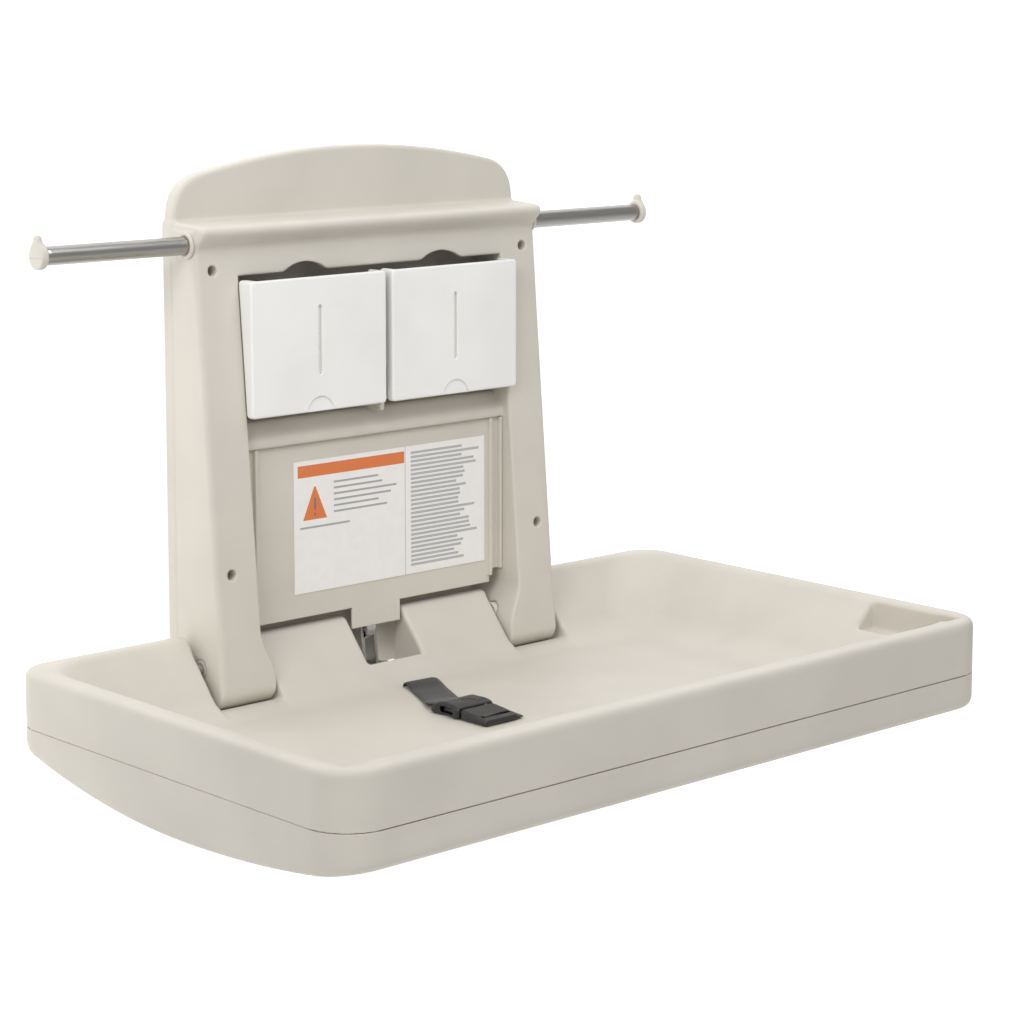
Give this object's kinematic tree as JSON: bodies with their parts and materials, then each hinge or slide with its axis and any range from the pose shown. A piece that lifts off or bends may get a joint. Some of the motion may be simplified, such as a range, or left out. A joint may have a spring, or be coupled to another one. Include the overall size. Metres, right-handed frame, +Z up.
{
  "type": "changing table",
  "caption": "Horizontal wall-mounted changing table: fold-down moulded bed with strap, tilt-out liner dispensers, and a bar on each side for bags.",
  "frame": {"origin": "on the wall plane, midway between the feet, level with the outer edge of the open bed's rim", "axes": "+Y into the wall, +X to the right along the bed as seen from the room, +Z up"},
  "size_m": [0.845, 0.518, 0.5829],
  "materials": {
    "housing_plastic": "satin moulded, fine texture",
    "bed_plastic": "satin moulded, fine texture",
    "white_plastic": "smooth moulded",
    "label_print": "printed film",
    "liner_paper": "soft paper",
    "bar_steel": "satin",
    "zinc_steel": "zinc plated",
    "strut_chrome": "polished",
    "black_plastic": "satin",
    "webbing": "woven"
  },
  "bodies": {
    "wall_unit": {"wall_plate": "zinc_steel", "back_housing": "housing_plastic", "label_panel": "housing_plastic", "info_label": "label_print", "wall_screw_left_lower": "zinc_steel", "wall_screw_left_upper": "zinc_steel", "wall_screw_right_lower": "zinc_steel", "wall_screw_right_upper": "zinc_steel", "bag_bar_left": "bar_steel", "bag_bar_right": "bar_steel", "bar_collar_left": "housing_plastic", "bar_collar_right": "housing_plastic", "bar_cap_left": "housing_plastic", "bar_cap_right": "housing_plastic", "hinge_bush_left": "housing_plastic", "hinge_bush_right": "housing_plastic", "dispenser_rod_left": "zinc_steel", "dispenser_rod_right": "zinc_steel", "strut_bracket_upper": "zinc_steel", "strut_pin_upper": "zinc_steel"},
    "bed": {"bed_pan": "bed_plastic", "bed_base": "bed_plastic", "hinge_pin_left": "zinc_steel", "hinge_pin_right": "zinc_steel", "strut_bracket_lower": "zinc_steel", "strut_pin_lower": "zinc_steel", "strap": "webbing", "strap_anchor": "zinc_steel", "buckle_socket": "black_plastic", "base_screw_1": "zinc_steel", "base_screw_2": "zinc_steel", "base_screw_3": "zinc_steel", "base_screw_4": "zinc_steel", "base_screw_5": "zinc_steel", "base_screw_6": "zinc_steel"},
    "buckle_half": {"buckle_tongue": "black_plastic", "strap_tail": "webbing"},
    "strut_body": {"strut_cylinder": "black_plastic"},
    "strut_piston": {"strut_rod": "strut_chrome"},
    "dispenser_left": {"dispenser_bin_left": "white_plastic", "liner_stack_left": "liner_paper"},
    "dispenser_right": {"dispenser_bin_right": "white_plastic", "liner_stack_right": "liner_paper"}
  },
  "joints": [
    {"name": "bed_fold", "type": "hinge", "parent": "wall_unit", "child": "bed", "pos_m": [0, -0.052, -0.022], "axis": [-1, 0, 0], "range_deg": [0, 90]},
    {"name": "strut_swing", "type": "hinge", "parent": "wall_unit", "child": "strut_body", "pos_m": [0, -0.032, 0.15], "axis": [-1, 0, 0], "range_deg": [0, 4.67]},
    {"name": "strut_extend", "type": "slide", "parent": "strut_body", "child": "strut_piston", "axis": [0, 0, -1], "range_m": [0, 0.0261]},
    {"name": "buckle_release", "type": "slide", "parent": "bed", "child": "buckle_half", "axis": [0, -1, 0], "range_m": [0, 0.06]},
    {"name": "dispenser_tilt_left", "type": "hinge", "parent": "wall_unit", "child": "dispenser_left", "pos_m": [-0.09, -0.06, 0.229], "axis": [1, 0, 0], "range_deg": [0, 5.5]},
    {"name": "dispenser_tilt_right", "type": "hinge", "parent": "wall_unit", "child": "dispenser_right", "pos_m": [0.09, -0.06, 0.229], "axis": [1, 0, 0], "range_deg": [0, 5.5]}
  ],
  "couplings": [
    {"joint": "strut_swing", "follows": "bed_fold", "ratio": 0.04964},
    {"joint": "strut_extend", "follows": "bed_fold", "m_per_rad": 0.016288}
  ]
}
